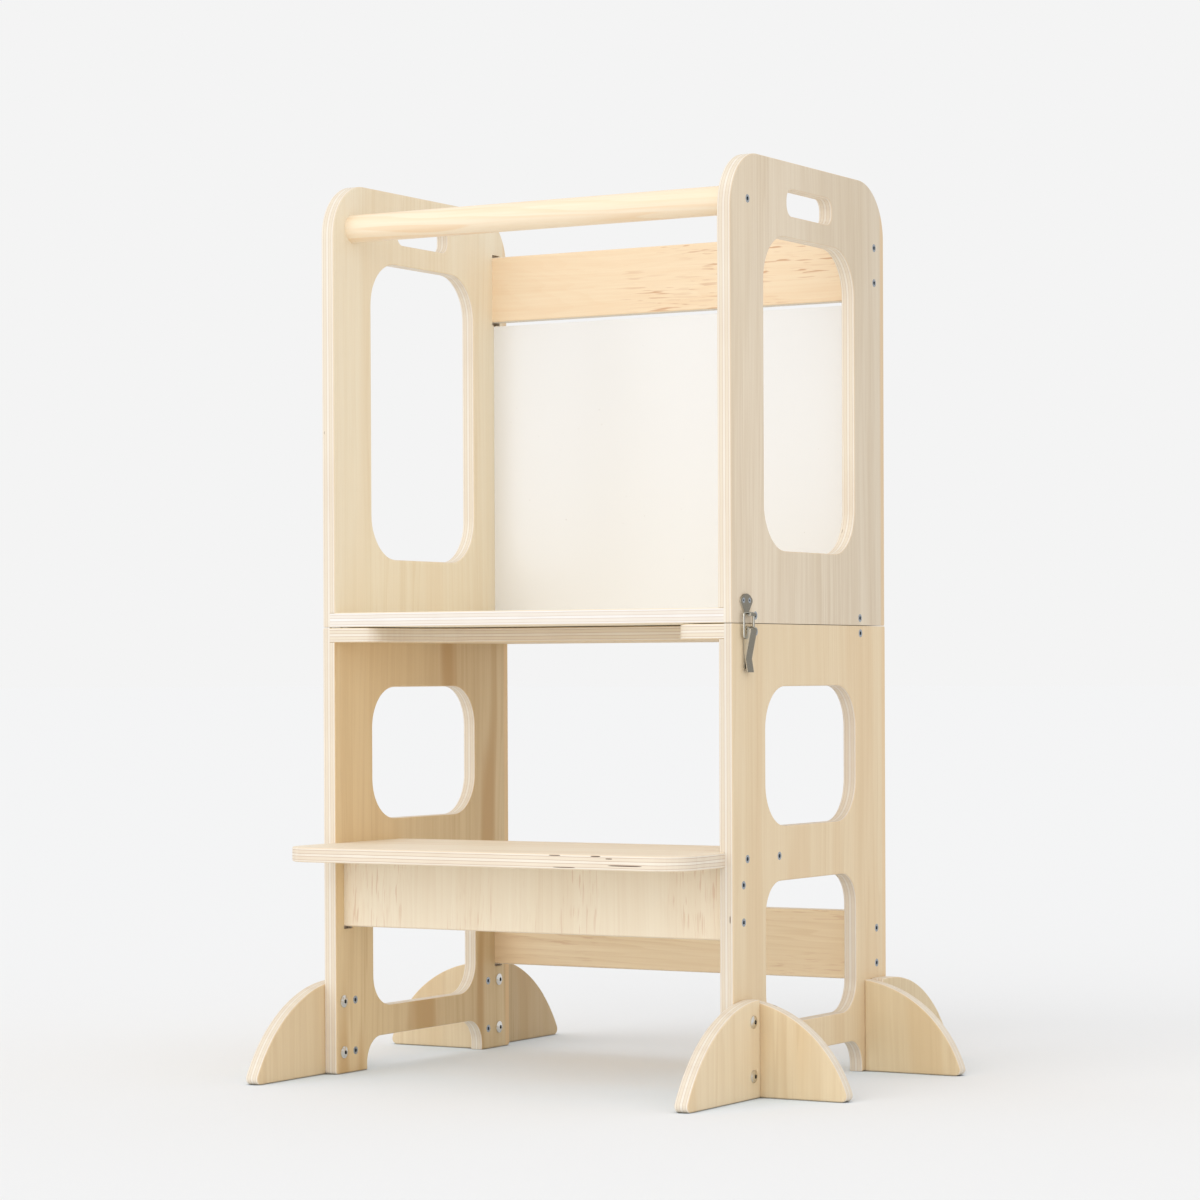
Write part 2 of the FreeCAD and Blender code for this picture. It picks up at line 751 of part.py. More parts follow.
def latchCatch():
    outer = upper_half_width
    head_z = latch_pivot_z + catch_head_rise
    half_neck = catch_neck_width / 2
    half_head = catch_head_width / 2
    head = [(latch_y - half_neck, head_z - catch_taper, 0), (latch_y + half_neck, head_z - catch_taper, 0),
            (latch_y + half_head, head_z, catch_side_radius), (latch_y, head_z + catch_head_peak, catch_crown_radius),
            (latch_y - half_head, head_z, catch_side_radius)]
    head_plate = plate(head, [], sideways, outer, catch_sheet, 0)
    low = hook_seat_z - catch_sheet
    neck = box((outer, latch_y - half_neck, low), (outer + catch_sheet, latch_y + half_neck, head_z))
    lip_inner = half_width + bail_reach + bail_wire_radius + hook_gap
    lip_outer = lip_inner + catch_sheet
    seat = box((outer, latch_y - half_neck, low), (lip_outer, latch_y + half_neck, hook_seat_z))
    lip = box((lip_inner, latch_y - half_neck, low), (lip_outer, latch_y + half_neck, hook_seat_z + hook_lip))
    return head_plate.fuse([neck, seat, lip]).removeSplitter().cut(catchHoles(outer))


# ---- butt hinges on the rear edges of the platform and the table board, drawn on the right-hand side

def leafSpan(level):
    """the bottom and top of a leaf: level is -1 on the table board and 1 on the platform"""
    if level < 0:
        return table_top - (ply - hinge_edge_margin), table_top
    return upper_base, upper_base + ply - hinge_edge_margin


def knuckleSpan(i):
    pitch = hinge_length / knuckle_count
    start = hinge_place - hinge_length / 2 + pitch * i
    return start, start + pitch


def hingeLeaf(level):
    bottom, top = leafSpan(level)
    leaf = box((hinge_place - hinge_length / 2, rear, bottom),
               (hinge_place + hinge_length / 2, rear + hinge_sheet, top))
    own = [i for i in range(knuckle_count) if (i % 2 == 0) == (level < 0)]
    others = [i for i in range(knuckle_count) if i not in own]
    notches = []
    for i in others:
        start, end = knuckleSpan(i)
        notches.append(rod(knuckle_radius + hinge_clearance, (start, hinge_y, hinge_z), (end, hinge_y, hinge_z)))
        notches.append(box((start, rear - cut_past, min(hinge_z, hinge_z + level * knuckle_radius)),
                           (end, hinge_y, max(hinge_z, hinge_z + level * knuckle_radius))))
    barrels = []
    for i in own:
        start, end = knuckleSpan(i)
        start += knuckle_gap / 2
        end -= knuckle_gap / 2
        barrels.append(rod(knuckle_radius, (start, hinge_y, hinge_z), (end, hinge_y, hinge_z)))
        barrels.append(box((start, rear, min(hinge_z, hinge_z + level * knuckle_radius)),
                           (end, hinge_y, max(hinge_z, hinge_z + level * knuckle_radius))))
    bore_radius = hinge_pin_radius + (hole_clearance / 2 if level < 0 else hinge_running_clearance)
    bore = rod(bore_radius, (hinge_place - hinge_length, hinge_y, hinge_z),
               (hinge_place + hinge_length, hinge_y, hinge_z))
    return leaf.cut(notches).fuse(barrels).removeSplitter().cut([bore] + rightHingeScrewHoles(level))


def hingePin():
    low = hinge_place - hinge_length / 2
    high = hinge_place + hinge_length / 2
    pin = rod(hinge_pin_radius, (low, hinge_y, hinge_z), (high, hinge_y, hinge_z))
    heads = [rod(hinge_pin_head_radius, (a, hinge_y, hinge_z), (b, hinge_y, hinge_z))
             for a, b in ((low - hinge_pin_head, low), (high, high + hinge_pin_head))]
    return pin.fuse(heads)


def hingeScrewPlaces(level):
    """away from the knuckles, in the middle of what is left of the leaf"""
    bottom, top = leafSpan(level)
    clear = knuckle_radius + hinge_clearance
    if level < 0:
        height = (bottom + hinge_z - clear) / 2
    else:
        height = (top + hinge_z + clear) / 2
    return [(hinge_place + hinge_screw_spacing * i, height) for i in (-1, 0, 1)]


def rightHingeScrewHoles(level):
    return [smallScrewHole(Vector(x, rear + hinge_sheet, z), backward * -1, hinge_screw_length,
                           hinge_screw_head_radius, hinge_screw_shank_radius, hinge_screw_head_cone)
            for x, z in hingeScrewPlaces(level)]


def hingeScrewHoles(level):
    right = rightHingeScrewHoles(level)
    return right + [mirrored(h) for h in right]


def hingeScrews(level):
    right = [smallScrew(Vector(x, rear + hinge_sheet, z), backward * -1, hinge_screw_length,
                        hinge_screw_head_radius, hinge_screw_shank_radius, hinge_screw_head_cone)
             for x, z in hingeScrewPlaces(level)]
    return together(right + [mirrored(s) for s in right])


# ---- the whole object

def saveBothSides(name, right):
    save("right_" + name, right)
    save("left_" + name, mirrored(right))


def saveLowerHalf():
    saveBothSides("lower_side", lowerSide())
    save("table_board", tableBoard())
    save("step_board", stepBoard())
    save("step_apron", plank(lower_board_end, apron_front, step_bottom - plank_height, apron_screws, half_width))
    save("lower_back_rail", plank(lower_board_end, back_plank_front, lower_back_rail_bottom, lower_back_screws,
                                  half_width))
    save("table_board_screws", screwsOnBothSides(table_screws, half_width))
    save("step_screws", screwsOnBothSides(step_screws, half_width))
    save("apron_screws", screwsOnBothSides(apron_screws, half_width))
    save("lower_back_rail_screws", screwsOnBothSides(lower_back_screws, half_width))


def saveFeet():
    names = {-1: ("left", "front"), 1: ("right", "rear")}
    bolts = []
    nuts = []
    screws = []
    for end in (-1, 1):
        side = sideFin(end)
        cross = crossFin(end)
        for x_side in (-1, 1):
            name = names[end][1] + "_" + names[x_side][0]
            save(name + "_side_fin", atCorner(side, x_side, end))
            save(name + "_cross_fin", atCorner(cross, x_side, end))
            for y, z in finBoltPlaces(end):
                bolt = finBolt(Vector(half_width + ply, y, z), across * -1)
                nut = sleeveNut(Vector(lower_inner, y, z), across)
                bolts.append(atCorner(bolt, x_side, 1))
                nuts.append(atCorner(nut, x_side, 1))
            for y, z in finScrewPlaces(end):
                screws.append(atCorner(woodScrew(Vector(lower_inner, y, z), across), x_side, 1))
    save("fin_bolts", together(bolts))
    save("fin_sleeve_nuts", together(nuts))
    save("fin_screws", together(screws))


def saveUpperHalf():
    saveBothSides("upper_side", upperSide())
    save("platform_board", platformBoard())
    save("front_rail", frontRail())
    save("upper_back_rail", plank(upper_board_end, back_plank_front, upper_back_rail_bottom, upper_back_screws,
                                  upper_half_width))
    save("whiteboard", whiteboard())
    save("platform_screws", screwsOnBothSides(platform_screws, upper_half_width))
    save("front_rail_screws", screwsOnBothSides(front_rail_screws, upper_half_width))
    save("upper_back_rail_screws", screwsOnBothSides(upper_back_screws, upper_half_width))


def saveLatches():
    saveBothSides("latch_base", latchBase())
    saveBothSides("latch_pin", latchPin())
    saveBothSides("latch_lever", latchLever())
    saveBothSides("latch_bail", latchBail())
    saveBothSides("latch_catch", latchCatch())
    base_screws = latchScrews(latchScrewPlaces(), half_width + latch_sheet)
    save("latch_base_screws", together(base_screws + [mirrored(s) for s in base_screws]))
    catch_screws = latchScrews(catchScrewPlaces(), upper_half_width + catch_sheet)
    save("latch_catch_screws", together(catch_screws + [mirrored(s) for s in catch_screws]))


def saveHinges():
    saveBothSides("hinge_lower_leaf", hingeLeaf(-1))
    saveBothSides("hinge_upper_leaf", hingeLeaf(1))
    saveBothSides("hinge_pin", hingePin())
    save("hinge_lower_screws", hingeScrews(-1))
    save("hinge_upper_screws", hingeScrews(1))


saveLowerHalf()
saveFeet()
saveUpperHalf()
saveLatches()
saveHinges()
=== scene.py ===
import bpy
import math
from mathutils import Matrix, Vector


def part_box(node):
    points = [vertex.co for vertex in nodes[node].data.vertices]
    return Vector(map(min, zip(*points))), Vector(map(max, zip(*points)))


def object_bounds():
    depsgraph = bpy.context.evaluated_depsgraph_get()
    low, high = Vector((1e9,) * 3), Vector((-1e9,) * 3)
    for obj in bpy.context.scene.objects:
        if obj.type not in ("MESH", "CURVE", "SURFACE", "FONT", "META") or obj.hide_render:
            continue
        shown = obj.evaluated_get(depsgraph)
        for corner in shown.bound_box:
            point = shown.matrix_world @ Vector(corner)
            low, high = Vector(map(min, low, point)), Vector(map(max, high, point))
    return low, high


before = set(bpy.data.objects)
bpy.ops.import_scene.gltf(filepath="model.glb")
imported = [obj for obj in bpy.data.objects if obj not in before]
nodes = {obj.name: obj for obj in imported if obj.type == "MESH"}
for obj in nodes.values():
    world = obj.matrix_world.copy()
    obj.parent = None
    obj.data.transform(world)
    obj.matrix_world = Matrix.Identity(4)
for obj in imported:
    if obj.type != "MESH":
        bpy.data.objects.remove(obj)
cadLow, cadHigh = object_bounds()
print("frame loaded,", len(nodes), "nodes")


# Shader helpers: a value that is a socket is linked, anything else is set on the socket.

def put(tree, kind, settings=None, **inputs):
    node = tree.nodes.new(kind)
    for key, value in (settings or {}).items():
        setattr(node, key, value)
    for key, value in inputs.items():
        socket = node.inputs[int(key[1:])] if key[1:].isdigit() else node.inputs[key.replace("_", " ")]
        if isinstance(value, bpy.types.NodeSocket):
            tree.links.new(value, socket)
        else:
            socket.default_value = value
    return node


def sums(tree, operation, a, b=0.0, c=0.0):
    return put(tree, "ShaderNodeMath", {"operation": operation}, i0=a, i1=b, i2=c).outputs[0]


def ramp(tree, value, low, high, first=0.0, last=1.0):  # eases from first to last between low and high
    node = put(tree, "ShaderNodeMapRange", {"interpolation_type": "SMOOTHSTEP"}, Value=value,
               From_Min=low, From_Max=high, To_Min=first, To_Max=last)
    return node.outputs["Result"]


def cloud(tree, vector, scale, detail=2.0, rough=0.5):
    node = put(tree, "ShaderNodeTexNoise", Vector=vector, Scale=scale, Detail=detail, Roughness=rough)
    return node.outputs["Fac"]


def blend(tree, amount, first, second, how="MIX"):  # a colour is a socket or three numbers
    first, second = [(*colour, 1) if isinstance(colour, tuple) else colour for colour in (first, second)]
    node = put(tree, "ShaderNodeMix", {"data_type": "RGBA", "blend_type": how}, i0=amount, i6=first, i7=second)
    return node.outputs[2]


def joined(tree, x, y, z):
    return put(tree, "ShaderNodeCombineXYZ", i0=x, i1=y, i2=z).outputs[0]


def parted(tree, vector):
    return put(tree, "ShaderNodeSeparateXYZ", Vector=vector).outputs


def newGroup(name, inputs, outputs):
    group = bpy.data.node_groups.new(name, "ShaderNodeTree")
    for label, value in inputs.items():
        group.interface.new_socket(label, in_out="INPUT", socket_type="NodeSocketFloat").default_value = value
    for label in outputs:
        group.interface.new_socket(label, in_out="OUTPUT", socket_type="NodeSocketFloat")
    return group, group.nodes.new("NodeGroupInput").outputs, group.nodes.new("NodeGroupOutput").inputs


def newMaterial(name):
    material = bpy.data.materials.new(name)
    material.use_nodes = True
    tree = material.node_tree
    return material, tree, tree.nodes["Principled BSDF"], tree.nodes.new("ShaderNodeTexCoord").outputs


def paint(nodeName, material):
    for slot in nodes[nodeName].material_slots:
        slot.material = material


# Rotary-cut softwood. A cloud is drawn out along the grain, since only the share "draw" of a length counts there, and
# "shift" moves it away from the others. The loops' draw and the bands' scale come with each board. A pair in
# grainMarks is where a mark starts and where it is full.

grainClouds = {
    "loops": {"shift": 3.1, "scale": 7.0, "detail": 1.5, "rough": 0.4},
    "uneven": {"shift": 2.2, "draw": 0.03, "scale": 55.0, "detail": 2.0, "rough": 0.6},
    "plain": {"shift": 6.4, "draw": 0.05, "scale": 15.0, "detail": 1.0, "rough": 0.5},
    "fine": {"shift": 7.7, "draw": 0.022, "scale": 420.0, "detail": 3.0, "rough": 0.6},
    "broad": {"shift": 9.2, "draw": 0.02, "scale": 70.0, "detail": 2.0, "rough": 0.5},
    "dash": {"shift": 5.3, "draw": 0.07, "scale": 480.0, "detail": 1.0, "rough": 0.5},
    "patch": {"shift": 1.9, "draw": 0.3, "scale": 15.0, "detail": 1.0, "rough": 0.5},
    "bands": {"shift": 11.0, "draw": 0.11, "detail": 1.0, "rough": 0.4}}
grainMarks = {
    "sway": 0.03, "swayDraw": 0.35, "swayScale": 5.0, "uneven": 4.0, "fineShare": 0.45, "broadShare": 0.55,
    "ringRise": (0.3, 0.9), "ringDrop": (0.92, 1.0), "plain": (0.40, 0.64), "leastRing": 0.2,
    "dash": (0.54, 0.64), "patch": (0.38, 0.52), "onRing": (0.0, 0.4), "leastFleck": 0.25,
    "bands": (0.52, 0.62)}


def grainGroup():
    group, given, wanted = newGroup(
        "grain", {"Across": 0.0, "Along": 0.0, "Seed": 0.0, "Count": 110.0, "Loops": 14.0, "Stretch": 0.06,
                  "Broad": 15.0}, ["Rings", "Streaks", "Flecks", "Bands"])
    along, seed, marks = given["Along"], given["Seed"], grainMarks
    slow = joined(group, given["Across"], sums(group, "MULTIPLY", along, marks["swayDraw"]), seed)
    sway = cloud(group, slow, marks["swayScale"])
    across = sums(group, "MULTIPLY_ADD", sway, marks["sway"], given["Across"])

    def drawn(name, **own):
        look = {**grainClouds[name], **own}
        spot = joined(group, across, sums(group, "MULTIPLY", along, look["draw"]),
                      sums(group, "ADD", seed, look["shift"]))
        return cloud(group, spot, look["scale"], look["detail"], look["rough"])

    # rings: the fractional part of a slope across the board, which rises slowly and drops at once
    uneven = sums(group, "MULTIPLY", drawn("uneven"), marks["uneven"])
    slope = sums(group, "MULTIPLY_ADD", across, given["Count"], uneven)
    turns = sums(group, "MULTIPLY_ADD", drawn("loops", draw=given["Stretch"]), given["Loops"], slope)
    tooth = sums(group, "FRACT", turns)
    ring = sums(group, "MULTIPLY", ramp(group, tooth, *marks["ringRise"]),
                ramp(group, tooth, *marks["ringDrop"], 1.0, 0.0))
    plain = ramp(group, drawn("plain"), *marks["plain"], marks["leastRing"])
    group.links.new(sums(group, "MULTIPLY", ring, plain), wanted["Rings"])

    broad = sums(group, "MULTIPLY", drawn("broad"), marks["broadShare"])
    group.links.new(sums(group, "MULTIPLY_ADD", drawn("fine"), marks["fineShare"], broad), wanted["Streaks"])

    dashes = ramp(group, drawn("dash"), *marks["dash"])
    patches = sums(group, "MULTIPLY", ramp(group, drawn("patch"), *marks["patch"]),
                   ramp(group, ring, *marks["onRing"], marks["leastFleck"]))
    group.links.new(sums(group, "MULTIPLY", dashes, patches), wanted["Flecks"])

    bands = drawn("bands", scale=given["Broad"])
    group.links.new(ramp(group, bands, *marks["bands"]), wanted["Bands"])
    return group


# Five plies, in metres from the nearer face: the outer ones are thinner. Face is 1 on the board's faces, Rim on its
# rounded corners, Glue on the four glue lines, Cross on the second and fourth ply, Voids in rare hollows of these.

layers = {"outer": 0.0024, "inner": 0.0034, "soft": 0.0002, "glue": 0.00035, "core": 0.3,
          "face": (0.0003, 0.0007), "rimStart": (0.00005, 0.0003), "rimEnd": (0.0006, 0.0014),
          "wave": 0.0009, "waveScale": 26.0,
          "voidPast": 0.0006, "voidHalf": 0.0007, "voidScale": 38.0, "voidShare": (0.76, 0.80)}


def plyGroup():
    group, given, wanted = newGroup(
        "plies", {"Depth": 0.0, "Thickness": 0.0145, "Seed": 0.0, "X": 0.0, "Y": 0.0, "Z": 0.0},
        ["Face", "Rim", "Glue", "Cross", "Voids"])
    near = sums(group, "MINIMUM", given["Depth"], sums(group, "SUBTRACT", given["Thickness"], given["Depth"]))
    group.links.new(ramp(group, near, *layers["face"], 1.0, 0.0), wanted["Face"])
    rim = sums(group, "MULTIPLY", ramp(group, near, *layers["rimStart"]),
               ramp(group, near, *layers["rimEnd"], 1.0, 0.0))
    group.links.new(rim, wanted["Rim"])

    spot = joined(group, given["X"], given["Y"], given["Z"])
    wave = sums(group, "SUBTRACT", cloud(group, spot, layers["waveScale"]), 0.5)
    moved = sums(group, "ADD", near, sums(group, "MULTIPLY", wave, layers["wave"]))

    def line(depth, half):
        away = sums(group, "ABSOLUTE", sums(group, "SUBTRACT", moved, depth))
        return ramp(group, away, half * layers["core"], half, 1.0, 0.0)

    first, second = layers["outer"], layers["outer"] + layers["inner"]
    glue = sums(group, "MAXIMUM", line(first, layers["glue"]), line(second, layers["glue"]))
    group.links.new(glue, wanted["Glue"])
    past = ramp(group, moved, first - layers["soft"], first + layers["soft"])
    before = ramp(group, moved, second - layers["soft"], second + layers["soft"], 1.0, 0.0)
    group.links.new(sums(group, "MULTIPLY", past, before), wanted["Cross"])

    shifted = joined(group, sums(group, "ADD", given["X"], given["Seed"]), given["Y"], given["Z"])
    rare = ramp(group, cloud(group, shifted, layers["voidScale"], detail=1.0, rough=0.4), *layers["voidShare"])
    hollow = line(first + layers["voidPast"], layers["voidHalf"])
    group.links.new(sums(group, "MULTIPLY", rare, hollow), wanted["Voids"])
    return group


grain = grainGroup()
plies = plyGroup()

# rim tints the rounded corners, and serves too as the painted shade along a board's rear edge
woods = {"glue": (0.55, 0.39, 0.28), "void": (0.13, 0.08, 0.05), "rim": (0.78, 0.55, 0.31),
         "fleck": (0.58, 0.31, 0.17)}

# The look of a board where its own entry below says nothing else: shares of each mark, and the grain's own numbers.
# "along" is the axis that the grain follows, and "rearShade" how much of its tone a board keeps at its rear edge
# under painted shade.
usualBoard = {"along": 2, "rings": 0.30, "streaks": 0.30, "bands": 0.3, "flecks": 0.0, "glue": 0.6,
              "count": 60.0, "loops": 14.0, "stretch": 0.06, "broad": 16.0, "rearEdgeShade": 0.0, "gaps": (),
              "edge": (0.85, 0.785, 0.675), "crossPly": (0.80, 0.71, 0.57), "fleckStart": -1.0, "rearShade": 1.0}

boards = {
    "right_upper_side": {
        "pale": (0.83, 0.715, 0.555), "dark": (0.64, 0.50, 0.345), "heart": (0.72, 0.58, 0.40),
        "rearEdgeShade": 0.6, "streaks": 0.42, "rearShade": 0.90},
    "left_upper_side": {
        "pale": (0.915, 0.815, 0.635), "dark": (0.79, 0.65, 0.44), "heart": (0.85, 0.69, 0.475), "rearEdgeShade": 0.5},
    "right_lower_side": {
        "pale": (0.82, 0.665, 0.45), "dark": (0.70, 0.52, 0.31), "heart": (0.75, 0.555, 0.34),
        "edge": (0.785, 0.72, 0.62), "crossPly": (0.74, 0.65, 0.52), "bands": 0.45, "rearEdgeShade": 0.45, "broad": 18.0},
    # The lower left side's dark pale and heart are partly its own browner veneer and partly painted shade under the
    # table board.
    "left_lower_side": {
        "pale": (0.83, 0.64, 0.38), "dark": (0.64, 0.43, 0.21), "heart": (0.62, 0.38, 0.16),
        "bands": 0.8, "rearEdgeShade": 0.6, "broad": 22.0, "rearShade": 0.8},
    "table_board": {
        "along": 0, "pale": (0.84, 0.71, 0.50), "dark": (0.62, 0.44, 0.25), "heart": (0.70, 0.52, 0.30),
        "glue": 0.9},
    "platform_board": {
        "along": 0, "pale": (0.945, 0.885, 0.72), "dark": (0.82, 0.68, 0.49), "heart": (0.87, 0.73, 0.54),
        "edge": (0.86, 0.83, 0.79), "crossPly": (0.82, 0.76, 0.68)},
    "step_board": {
        "along": 0, "pale": (0.92, 0.83, 0.68), "dark": (0.77, 0.61, 0.45), "heart": (0.81, 0.66, 0.49),
        "edge": (0.87, 0.80, 0.68), "crossPly": (0.82, 0.72, 0.58), "glue": 0.95,
        "gaps": ((0.091, 0.2322, 0.0066, 0.0005), (0.1357, 0.2321, 0.0055, 0.0006),
                 (0.1502, 0.2300, 0.0038, 0.0005), (0.1674, 0.2237, 0.0188, 0.0006),
                 (0.1013, 0.2210, 0.0126, 0.0004))},
    "step_apron": {
        "pale": (0.89, 0.79, 0.62), "dark": (0.76, 0.60, 0.43), "heart": (0.82, 0.69, 0.50),
        "rings": 0.18, "streaks": 0.22, "bands": 0.2, "loops": 22.0, "flecks": 0.35},
    "upper_back_rail": {
        "along": 0, "pale": (0.89, 0.725, 0.515), "dark": (0.80, 0.55, 0.33), "heart": (0.80, 0.59, 0.37),
        "rings": 0.35, "count": 26.0, "loops": 22.0, "stretch": 0.35, "bands": 0.25, "broad": 11.0,
        "flecks": 0.75, "fleckStart": -0.09},
    "lower_back_rail": {
        "along": 0, "pale": (0.93, 0.77, 0.54), "dark": (0.77, 0.57, 0.35), "heart": (0.77, 0.55, 0.33),
        "rings": 0.45, "flecks": 0.3, "count": 50.0, "loops": 18.0, "stretch": 0.16, "bands": 0.5}}

# Each fin's tone is a share of a common one: partly the fin's own tone, as each is cut from another part of the
# sheet, and partly painted shade, darkest on the fins that stand in shadow.
finWood = {"pale": (0.83, 0.68, 0.45), "dark": (0.68, 0.50, 0.29), "heart": (0.74, 0.54, 0.30)}
finToneAndShade = {
    "front_left_side_fin": (1.02, 0.99, 0.97), "front_left_cross_fin": (0.92, 0.92, 0.92),
    "front_right_side_fin": (1.04, 1.045, 1.09), "front_right_cross_fin": (0.905, 0.90, 0.90),
    "rear_left_side_fin": (0.67, 0.62, 0.56), "rear_left_cross_fin": (0.96, 0.97, 1.0),
    "rear_right_side_fin": (0.90, 0.90, 0.90), "rear_right_cross_fin": (0.90, 0.89, 0.87)}
for fin, tone in finToneAndShade.items():
    boards[fin] = {key: tuple(part * share for part, share in zip(wood, tone)) for key, wood in finWood.items()}
    boards[fin].update(bands=0.5, broad=20.0)

# What all boards share: where streaks start and are full, how far marks reach in metres, gloss and relief.
finish = {"faceStreaks": (0.36, 0.66), "edgeStreaks": (0.35, 0.7), "edgeStreakShare": 0.2, "fleckEase": 0.08,
          "gapReach": (0.001, 0.003), "gapEnd": (0.5, 1.2), "rearEdgeShadeStart": 0.010, "rearEdgeShadeFull": 0.007,
          "rimShare": 0.3, "roughStreaks": (0.3, 0.7), "rough": (0.5, 0.62), "specular": 0.3,
          "glueDip": 0.3, "streakRise": 0.25, "bump": 0.2, "bumpHeight": 0.0005,
          "firstSeed": 1.7, "seedStep": 2.3}


def gapMask(tree, x, z, gaps):  # long thin hollows in an edge: each is a middle, half a length and half a height
    mask = 0.0
    for middle, height, halfLength, halfHeight in gaps:
        ratioX = sums(tree, "DIVIDE", sums(tree, "SUBTRACT", x, middle), halfLength)
        ratioZ = sums(tree, "DIVIDE", sums(tree, "SUBTRACT", z, height), halfHeight)
        reach = sums(tree, "ADD", sums(tree, "POWER", ratioX, 4.0), sums(tree, "POWER", ratioZ, 2.0))
        mask = sums(tree, "MAXIMUM", mask, ramp(tree, reach, *finish["gapEnd"], 1.0, 0.0))
    return mask


def faceColour(tree, look, wood, axes, front, rear):
    along, start = look["along"], look["fleckStart"]
    streaks = sums(tree, "MULTIPLY", ramp(tree, wood["Streaks"], *finish["faceStreaks"]), look["streaks"])
    marks = sums(tree, "MULTIPLY_ADD", wood["Rings"], look["rings"], streaks)
    face = blend(tree, sums(tree, "MULTIPLY", wood["Bands"], look["bands"]), look["pale"], look["heart"])
    face = blend(tree, marks, face, look["dark"])
    share = ramp(tree, axes[along], start, start + finish["fleckEase"], 0.0, look["flecks"])
    face = blend(tree, sums(tree, "MULTIPLY", wood["Flecks"], share), face, woods["fleck"])
    # painted shade: the face darkens from its front towards its rear edge
    shade = ramp(tree, axes[1], front, rear, 1.0, look["rearShade"])
    face = blend(tree, 1.0, face, joined(tree, shade, shade, shade), "MULTIPLY")
    if look["rearEdgeShade"]:  # painted shade: the last few millimetres before the rear edge turn darker and warmer, an edge turned from the light
        rim = ramp(tree, axes[1], rear - finish["rearEdgeShadeStart"], rear - finish["rearEdgeShadeFull"], 0.0, look["rearEdgeShade"])
        face = blend(tree, rim, face, woods["rim"])
    return face


def edgeColour(tree, look, wood, layer, hollows):
    edge = blend(tree, layer["Cross"], look["edge"], look["crossPly"])
    streaks = ramp(tree, wood["Streaks"], *finish["edgeStreaks"], 0.0, finish["edgeStreakShare"])
    edge = blend(tree, streaks, edge, woods["glue"])
    edge = blend(tree, sums(tree, "MULTIPLY", layer["Glue"], look["glue"]), edge, woods["glue"])
    return blend(tree, hollows, edge, woods["void"])


def plywood(name, look, seed):
    low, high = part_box(name)
    sizes = [high[i] - low[i] for i in range(3)]
    through, along = sizes.index(min(sizes)), look["along"]
    material, tree, shader, coords = newMaterial(name + "_plywood")
    axes = parted(tree, coords["Object"])
    start = min(abs(low[through]), abs(high[through]))
    depth = sums(tree, "SUBTRACT", sums(tree, "ABSOLUTE", axes[through]), start)
    wood = put(tree, "ShaderNodeGroup", {"node_tree": grain}, Across=axes[3 - through - along], Along=axes[along],
               Seed=seed, Count=look["count"], Loops=look["loops"], Stretch=look["stretch"],
               Broad=look["broad"]).outputs
    layer = put(tree, "ShaderNodeGroup", {"node_tree": plies}, Depth=depth, Thickness=sizes[through], Seed=seed,
                X=axes[0], Y=axes[1], Z=axes[2]).outputs
    hollows = layer["Voids"]
    if look["gaps"]:
        nearFront, farFront = finish["gapReach"]
        inEdge = ramp(tree, axes[1], low[1] + nearFront, low[1] + farFront, 1.0, 0.0)
        gaps = sums(tree, "MULTIPLY", inEdge, gapMask(tree, axes[0], axes[2], look["gaps"]))
        hollows = sums(tree, "MAXIMUM", hollows, gaps)
    colour = blend(tree, layer["Face"], edgeColour(tree, look, wood, layer, hollows),
                   faceColour(tree, look, wood, axes, low[1], high[1]))
    colour = blend(tree, sums(tree, "MULTIPLY", layer["Rim"], finish["rimShare"]), colour, woods["rim"])
    tree.links.new(colour, shader.inputs["Base Color"])
    rough = ramp(tree, wood["Streaks"], *finish["roughStreaks"], *finish["rough"])
    tree.links.new(rough, shader.inputs["Roughness"])
    shader.inputs["Specular IOR Level"].default_value = finish["specular"]
    deep = sums(tree, "MAXIMUM", hollows, sums(tree, "MULTIPLY", layer["Glue"], finish["glueDip"]))
    height = sums(tree, "SUBTRACT", sums(tree, "MULTIPLY", wood["Streaks"], finish["streakRise"]), deep)
    bump = put(tree, "ShaderNodeBump", Strength=finish["bump"], Distance=finish["bumpHeight"], Height=height)
    tree.links.new(bump.outputs[0], shader.inputs["Normal"])
    paint(name, material)


for count, (name, look) in enumerate(boards.items()):
    plywood(name, {**usualBoard, **look}, finish["firstSeed"] + finish["seedStep"] * count)
print("plywood on", len(boards), "boards")

dowel = {"pale": (0.92, 0.79, 0.60), "dark": (0.86, 0.63, 0.40), "rings": 0.75, "streaks": 0.4,
         "fromTo": (0.35, 0.68), "seed": 4.4, "count": 60.0, "loops": 12.0, "stretch": 0.12, "rough": 0.42}


def dowelWood():
    material, tree, shader, coords = newMaterial("dowel_pine")
    axes = parted(tree, coords["Object"])
    wood = put(tree, "ShaderNodeGroup", {"node_tree": grain}, Across=axes[2], Along=axes[0], Seed=dowel["seed"],
               Count=dowel["count"], Loops=dowel["loops"], Stretch=dowel["stretch"]).outputs
    streaks = sums(tree, "MULTIPLY", ramp(tree, wood["Streaks"], *dowel["fromTo"]), dowel["streaks"])
    marks = sums(tree, "MULTIPLY_ADD", wood["Rings"], dowel["rings"], streaks)
    tree.links.new(blend(tree, marks, dowel["pale"], dowel["dark"]), shader.inputs["Base Color"])
    shader.inputs["Roughness"].default_value = dowel["rough"]
    paint("front_rail", material)


writing = {"white": (0.825, 0.82, 0.81), "speck": (0.45, 0.40, 0.34), "speckScale": 260.0,
           "speckEnd": (0.80, 0.83), "speckShare": 0.25, "smearScale": 3.0, "smearEnd": (0.2, 0.8),
           "rough": (0.22, 0.27)}


